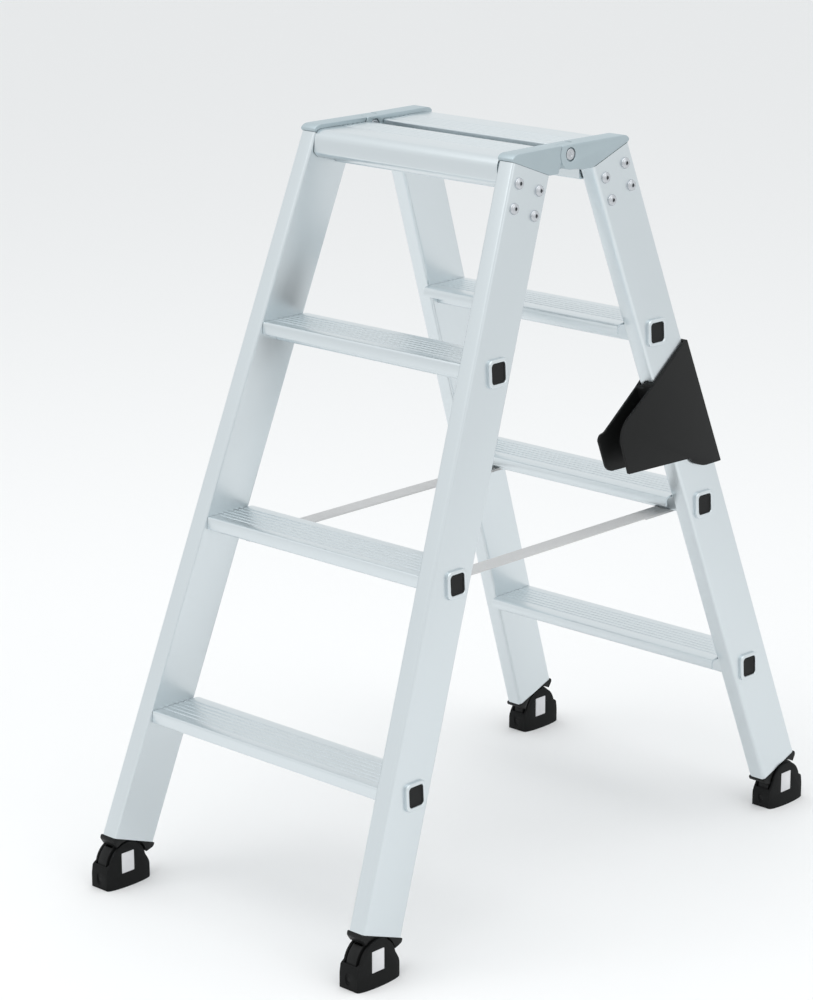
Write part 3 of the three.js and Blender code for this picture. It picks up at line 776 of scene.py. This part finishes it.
def insert_shape(side):
    """The light plate let into one cheek of the shoe; side is 1 outside, -1 inside."""
    near, far = sorted((PLATE["back"] * side, PLATE["face"] * side))
    bm = prism(plate_outline(0, 3), flat(near), flat(far))
    return moved(eased(bm, 0.3, 2, 50), *FOOT)


# ---------- webbing ----------
TAB_GAP = 0.15  # between the strap and the end turned under it
STRAP_HELD = 28.0  # a distance in from each end of a strap
SELVEDGE = 0.42  # the rounding of a strap's edges, as a share of its thickness
SEWN_LENGTH = 14  # from one row of stitches to the other
STITCH = {"margin": 3, "half": 0.35, "share": 0.7, "proud": 0.35, "sunk": 0.2, "ease": 0.15}
HEAD_HEIGHT = 1.2  # the set head below a strap's washer


def band(x, width, y0, y1, z, thick, pieces):
    """A flat strap along Y, in short lengths, with its weave laid out in metres."""
    bm = block((x - width / 2, y0, z - thick), (x + width / 2, y1, z))
    along = [e for e in bm.edges if abs(e.verts[0].co.y - e.verts[1].co.y) > 1]
    bmesh.ops.subdivide_edges(bm, edges=along, cuts=pieces - 1)
    across = [e for e in bm.edges if abs(e.verts[0].co.x - e.verts[1].co.x) > 1]
    bmesh.ops.subdivide_edges(bm, edges=across, cuts=3)
    edges = [
        e for e in bm.edges
        if all(abs(abs(v.co.x - x) - width / 2) < 0.01 for v in e.verts)
        and abs(e.verts[0].co.y - e.verts[1].co.y) > 1
    ]
    bmesh.ops.bevel(
        bm, geom=edges, offset=thick * SELVEDGE, offset_type="OFFSET", segments=3, profile=0.5,
        affect="EDGES", clamp_overlap=True, material=-1,
    )
    layer = bm.loops.layers.uv.new("length")
    for face in bm.faces:
        for loop in face.loops:
            loop[layer].uv = ((loop.vert.co.x - x) * MM, loop.vert.co.y * MM)
    return bm


def strap_piece(look, side, sizes):
    """One strap that crosses the fold, each end turned under and sewn into a tab."""
    node = f"strap_{side}"
    low, high = (Vector(corner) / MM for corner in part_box(node))
    x = (low.x + high.x) / 2
    width = high.x - low.x
    thick = high.z - low.z
    sewn = high.y - sizes.tab_length / MM
    under = low.z - TAB_GAP
    shells = [band(x, width, low.y, high.y, high.z, thick, 60)]
    for end in (-1, 1):
        y0, y1 = sorted((end * high.y, end * sewn))
        shells.append(band(x, width - 1, y0, y1, under, thick, 16))
        rows = (end * sewn, end * (sewn + SEWN_LENGTH))
        shells.append(stitches(x, width, rows, under - thick, sizes.stitch_pitch / MM))
    bm = merged(*shells)
    strap = settle(bm, f"webbing_{side}", look, None, [node])
    bm.free()
    start, end = ((x * MM, sign * (high.y - STRAP_HELD) * MM, high.z * MM) for sign in (-1, 1))
    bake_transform(strap)


def stitches(x, width, rows, z, pitch):
    """Rows of stitches across the underside of a strap's end, each moved from its row towards the tip."""
    margin, half = STITCH["margin"], STITCH["half"]
    toward = math.copysign(margin, rows[1] - rows[0])
    shells = []
    for row in rows:
        for i in range(int((width - 2 * margin) / pitch)):
            start = x - width / 2 + margin + i * pitch
            low = (start, row + toward - half, z - STITCH["proud"])
            high = (start + pitch * STITCH["share"], row + toward + half, z + STITCH["sunk"])
            shells.append(eased(block(low, high), STITCH["ease"], 1, 30))
    return merged(*shells)


def washer_shape():
    """The washer and the set head of the rivet that holds the strap, under the front right end."""
    low, high = (Vector(corner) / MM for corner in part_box("strap_rivet_front_right"))
    x, y = (low.x + high.x) / 2, (low.y + high.y) / 2
    tall = high.z - low.z - HEAD_HEIGHT
    bm = merged(
        lathe([(0, 1.4), (6.1, 1.4), (6.5, 1.0), (6.5, 0.4), (6.1, 0), (0, 0)], 40),
        lathe([(0, 0.2), (4.6, 0.2), (4.5, -0.4), (3.6, -1.0), (2.2, -1.2), (2.0, -0.7), (0, -0.6)], 32),
        lathe([(0, tall - 0.4), (2.6, tall - 0.4), (2.6, 1.0), (0, 1.0)], 24),
        lathe([(0, tall), (3.4, tall), (3.8, tall - 0.4), (3.8, tall - 1.8), (0, tall - 1.8)], 24),
    )
    upright = Matrix.Translation((x, y, low.z + HEAD_HEIGHT)) @ Matrix.Rotation(-math.pi / 2, 4, "Y")
    strap_low, strap_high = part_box("strap_right")
    drop = (strap_high[2] - strap_low[2]) / MM + TAB_GAP  # the strap's end is doubled here
    washer_top = 1.5
    for v in bm.verts:
        if v.co.x < washer_top:
            v.co.x -= drop
    bmesh.ops.transform(bm, matrix=upright, verts=bm.verts)
    return bm


# ---------- settings ----------
class LadderSizes(bpy.types.PropertyGroup):
    """The small sizes that the panel can change, in metres"""

    groove_depth: bpy.props.FloatProperty(
        name="Groove depth", description="Depth of the grooves in the treads and the platform",
        default=0.0009, min=0.0, max=0.002, unit="LENGTH", subtype="DISTANCE",
    )
    tab_length: bpy.props.FloatProperty(
        name="Tab length", description="Length of the sewn end of each strap",
        default=0.06, min=0.03, max=0.08, unit="LENGTH", subtype="DISTANCE",
    )
    stitch_pitch: bpy.props.FloatProperty(
        name="Stitch pitch", description="From one stitch of a strap's end to the next",
        default=0.0025, min=0.001, max=0.006, unit="LENGTH", subtype="DISTANCE",
    )


def colour_property(name, text, default):
    """A colour swatch that starts from an sRGB hex value."""
    return bpy.props.FloatVectorProperty(
        name=name, description=text, default=linear(default), size=4, min=0.0, max=1.0, subtype="COLOR"
    )


class LadderColours(bpy.types.PropertyGroup):
    """The colour of each material"""

    aluminium: colour_property("Aluminium", "Stiles, treads and platform", "#D9E0E3")
    casting: colour_property("Castings", "Hinge castings", "#B4C1C6")
    steel: colour_property("Steel", "Pins, rivets and washers", "#C4C7CB")
    mandrel: colour_property("Mandrels", "Broken ends left in the blind rivets", "#4A4C4E")
    black: colour_property("Black", "Plugs, clamp and feet", "#121313")
    grey: colour_property("Grey", "Plates in the shoes", "#DCDCDE")
    webbing: colour_property("Webbing", "Straps", "#CDCDCD")
    floor: colour_property("Floor", "Studio floor", "#F0F0F0")


# ---------- operators ----------
class LADDER_OT_stiles(bpy.types.Operator):
    """Build the four stiles"""

    bl_idname = "ladder.stiles"
    bl_label = "Stiles"

    def execute(self, context):
        looks = finishes(context)
        at_corners(
            stile_shape(), "stile_extrusion_{corner}", "stile_{corner}", looks["stile"],
        )
        return {"FINISHED"}


class LADDER_OT_treads(bpy.types.Operator):
    """Build the six treads with the rims of their tubes"""

    bl_idname = "ladder.treads"
    bl_label = "Treads"

    def execute(self, context):
        looks = finishes(context)
        deep = context.scene.ladder_sizes.groove_depth / MM
        for number in (1, 2, 3):
            at_corners(
                tread_shape(number, deep), f"tread_{{end}}_{number}", f"step_{{end}}_{number}",
                looks["tread"], corners=BOTH_ENDS,
            )
        return {"FINISHED"}


class LADDER_OT_plugs(bpy.types.Operator):
    """Build the plugs in the ends of the step tubes"""

    bl_idname = "ladder.plugs"
    bl_label = "Tube Plugs"

    def execute(self, context):
        looks = finishes(context)
        for number in (1, 2, 3):
            at_corners(
                plug_shape(number), f"tube_plug_{{corner}}_{number}", f"step_plug_{{corner}}_{number}",
                looks["black"],
            )
        return {"FINISHED"}


class LADDER_OT_platform(bpy.types.Operator):
    """Build the two halves of the platform"""

    bl_idname = "ladder.platform"
    bl_label = "Platform"

    def execute(self, context):
        looks = finishes(context)
        deep = context.scene.ladder_sizes.groove_depth / MM
        at_corners(
            platform_shape(deep), "platform_extrusion_{end}", "platform_{end}", looks["tread"],
            corners=BOTH_ENDS,
        )
        return {"FINISHED"}


class LADDER_OT_hinges(bpy.types.Operator):
    """Build the hinge castings, their pins and the rivets that hold them"""

    bl_idname = "ladder.hinges"
    bl_label = "Hinges"

    def execute(self, context):
        looks = finishes(context)
        for outside, corners in ((True, ("front_left", "rear_right")), (False, BOTH_ENDS)):
            at_corners(
                casting_shape(outside), "hinge_bracket_{corner}", "hinge_casting_{corner}", looks["casting"],
                corners=corners,
            )
        at_corners(
            pin_shape(), "pivot_pin_{side}", "hinge_pin_{side}", looks["steel"],
            corners=("front_right", "front_left"),
        )
        lean = Matrix.Translation((0, 0, HINGE.z)) @ Matrix.Rotation(-LEAN, 4, "X")
        taper = Matrix.Rotation(-math.atan(SLOPE), 4, "Y")
        places = [(y, z) for z in RIVET_HEIGHTS for y in RIVET_YS]
        for number, (y, z) in enumerate(places, 1):
            stand = lean @ Matrix.Translation((STILE["x"] - SLOPE * z, y, z)) @ taper
            for shape, word, look in (
                (rivet_shape, "blind_rivet", "steel"), (mandrel_shape, "rivet_mandrel", "mandrel"),
            ):
                bm = shape()
                bmesh.ops.transform(bm, matrix=stand, verts=bm.verts)
                at_corners(bm, f"{word}_{{corner}}_{number}", "", looks[look])
        return {"FINISHED"}


class LADDER_OT_straps(bpy.types.Operator):
    """Build the webbing straps, their sewn ends, washers and rivets"""

    bl_idname = "ladder.straps"
    bl_label = "Straps"

    def execute(self, context):
        looks = finishes(context)
        at_corners(
            washer_shape(), "strap_washer_{corner}", "strap_rivet_{corner}", looks["steel"],
        )
        for side in ("right", "left"):
            strap_piece(looks["webbing"], side, context.scene.ladder_sizes)
        return {"FINISHED"}


class LADDER_OT_clamp(bpy.types.Operator):
    """Build the transport clamp"""

    bl_idname = "ladder.clamp"
    bl_label = "Transport Clamp"

    def execute(self, context):
        looks = finishes(context)
        at_corners(
            clamp_shape(), "carrying_clamp", "transport_clamp", looks["black"],
            corners=("rear_right",),
        )
        return {"FINISHED"}


class LADDER_OT_feet(bpy.types.Operator):
    """Build the four feet: collars, drums, shoes and the plates in them"""

    bl_idname = "ladder.feet"
    bl_label = "Feet"

    def execute(self, context):
        looks = finishes(context)
        at_corners(
            collar_shape(), "stile_collar_{corner}", "foot_collar_{corner}", looks["black"],
        )
        at_corners(
            swivel_shape(), "tilt_drum_{corner}", "foot_swivel_{corner}", looks["black"],
            "foot_swivel_{corner}",
        )
        at_corners(
            shoe_shape(), "rubber_shoe_{corner}", "foot_shoe_{corner}", looks["rubber"],
            "foot_shoe_{corner}",
        )
        for side, word in ((1, "outer"), (-1, "inner")):
            at_corners(
                insert_shape(side), f"side_plate_{word}_{{corner}}", f"foot_insert_{word}_{{corner}}",
                looks["grey"], "foot_shoe_{corner}",
            )
        return {"FINISHED"}


class LADDER_OT_stage(bpy.types.Operator):
    """Set the floor, the soft lights and the camera"""

    bl_idname = "ladder.stage"
    bl_label = "Studio Stage"

    def execute(self, context):
        scene = context.scene
        floor_mesh = bmesh.new()
        bmesh.ops.create_grid(floor_mesh, x_segments=1, y_segments=1, size=FLOOR_HALF)
        mesh = bpy.data.meshes.new("studio_floor")
        floor_mesh.to_mesh(mesh)
        floor_mesh.free()
        floor = bpy.data.objects.new("studio_floor", mesh)
        scene.collection.objects.link(floor)
        # Matt paint, so that the floor shows soft shadows and no reflections.
        look, _, _ = material("pale_floor", scene.ladder_colours.floor, 0.9)
        mesh.materials.append(look)

        scene.view_settings.view_transform = "Standard"
        world = scene.world or bpy.data.worlds.new("studio")
        scene.world = world
        world.use_nodes = True
        back = world.node_tree.nodes["Background"]
        back.inputs["Color"].default_value = SKY["colour"]
        back.inputs["Strength"].default_value = SKY["strength"]

        centre = (Vector(CAD_BOX[0]) + Vector(CAD_BOX[1])) / 2
        for name, azimuth, elevation, size, power in LAMPS:
            lamp = bpy.data.lights.new(name, "AREA")
            lamp.size = size
            lamp.energy = power
            obj = bpy.data.objects.new(name, lamp)
            scene.collection.objects.link(obj)
            aim_from(obj, centre, azimuth, elevation, LAMP_DISTANCE)

        camera = bpy.data.cameras.new("camera")
        camera.sensor_fit = "HORIZONTAL"
        camera.sensor_width = CAMERA["sensor"]
        camera.lens = CAMERA["lens"]
        obj = bpy.data.objects.new("camera", camera)
        scene.collection.objects.link(obj)
        aim_from(
            obj, centre + Vector(CAMERA_AIM), CAMERA["azimuth"], CAMERA["elevation"], CAMERA["distance"],
        )
        scene.camera = obj
        return {"FINISHED"}


def aim_from(obj, target, azimuth, elevation, distance):
    """Stands obj at this bearing and height about the target, looking at it; azimuth 0 looks along +Y."""
    a, e = math.radians(azimuth), math.radians(elevation)
    away = Vector((math.sin(a) * math.cos(e), -math.cos(a) * math.cos(e), math.sin(e)))
    obj.location = target + away * distance
    obj.rotation_euler = (-away).to_track_quat("-Z", "Y").to_euler()


class LADDER_PT_panel(bpy.types.Panel):
    """The ladder's settings and the buttons that build it"""

    bl_idname = "LADDER_PT_panel"
    bl_label = "Platform Step Ladder"
    bl_space_type = "VIEW_3D"
    bl_region_type = "UI"
    bl_category = "Ladder"

    def draw(self, context):
        for group in (context.scene.ladder_sizes, context.scene.ladder_colours):
            box = self.layout.box()
            for key in group.__annotations__:
                box.prop(group, key)
        for operator in OPERATORS:
            self.layout.operator(operator.bl_idname)


OPERATORS = (
    LADDER_OT_stiles, LADDER_OT_treads, LADDER_OT_plugs, LADDER_OT_platform, LADDER_OT_hinges,
    LADDER_OT_straps, LADDER_OT_clamp, LADDER_OT_feet, LADDER_OT_stage,
)
CLASSES = (LadderSizes, LadderColours, *OPERATORS, LADDER_PT_panel)


def register():
    for cls in CLASSES:
        bpy.utils.register_class(cls)
    bpy.types.Scene.ladder_sizes = bpy.props.PointerProperty(type=LadderSizes)
    bpy.types.Scene.ladder_colours = bpy.props.PointerProperty(type=LadderColours)


def unregister():
    del bpy.types.Scene.ladder_colours
    del bpy.types.Scene.ladder_sizes
    for cls in reversed(CLASSES):
        bpy.utils.unregister_class(cls)


def main():
    """Builds every piece."""
    register()
    for operator in OPERATORS:
        getattr(bpy.ops.ladder, operator.bl_idname.split(".")[1])()


if __name__ == "__main__":
    main()
